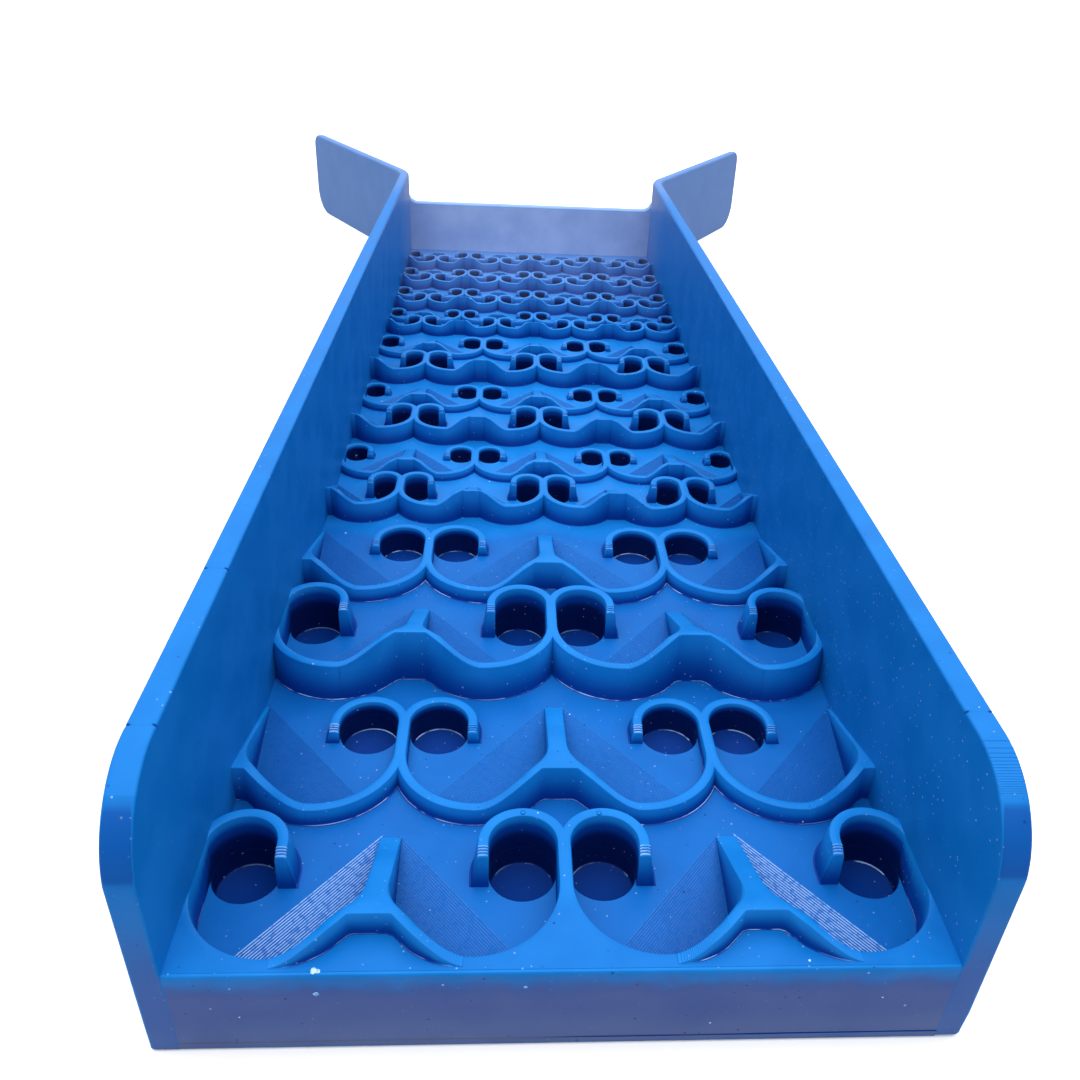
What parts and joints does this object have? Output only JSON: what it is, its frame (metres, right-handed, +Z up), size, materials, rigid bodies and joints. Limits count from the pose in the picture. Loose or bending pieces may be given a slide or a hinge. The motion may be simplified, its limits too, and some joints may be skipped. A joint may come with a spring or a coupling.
{
  "type": "riffle sluice tray",
  "caption": "Hand gold sluice: open blue tray with side walls, front lip, header plate, flared wings and coarse, medium and fine scroll riffles on its floor.",
  "frame": {"origin": "centre of the tray's bounding box in plan, on the surface it rests on", "axes": "+Z up, +Y from the front lip towards the flared wings, +X to the right"},
  "size_m": [0.1526, 0.3216, 0.0319],
  "materials": {
    "blue_plastic": "semi-gloss cast blue plastic with fine layer lines"
  },
  "bodies": {
    "root": {"base_plate": "blue_plastic", "front_lip": "blue_plastic", "left_side_wall": "blue_plastic", "right_side_wall": "blue_plastic", "left_flare_wing": "blue_plastic", "right_flare_wing": "blue_plastic", "header_plate": "blue_plastic", "coarse_riffle_row_1": "blue_plastic", "coarse_riffle_row_2": "blue_plastic", "coarse_riffle_row_3": "blue_plastic", "coarse_riffle_row_4": "blue_plastic", "medium_riffle_row_1": "blue_plastic", "medium_riffle_row_2": "blue_plastic", "medium_riffle_row_3": "blue_plastic", "medium_riffle_row_4": "blue_plastic", "medium_riffle_row_5": "blue_plastic", "medium_riffle_row_6": "blue_plastic", "fine_riffle_row_1": "blue_plastic", "fine_riffle_row_2": "blue_plastic", "fine_riffle_row_3": "blue_plastic", "fine_riffle_row_4": "blue_plastic", "fine_riffle_row_5": "blue_plastic", "fine_riffle_row_6": "blue_plastic", "fine_riffle_row_7": "blue_plastic", "fine_riffle_row_8": "blue_plastic"}
  },
  "joints": []
}
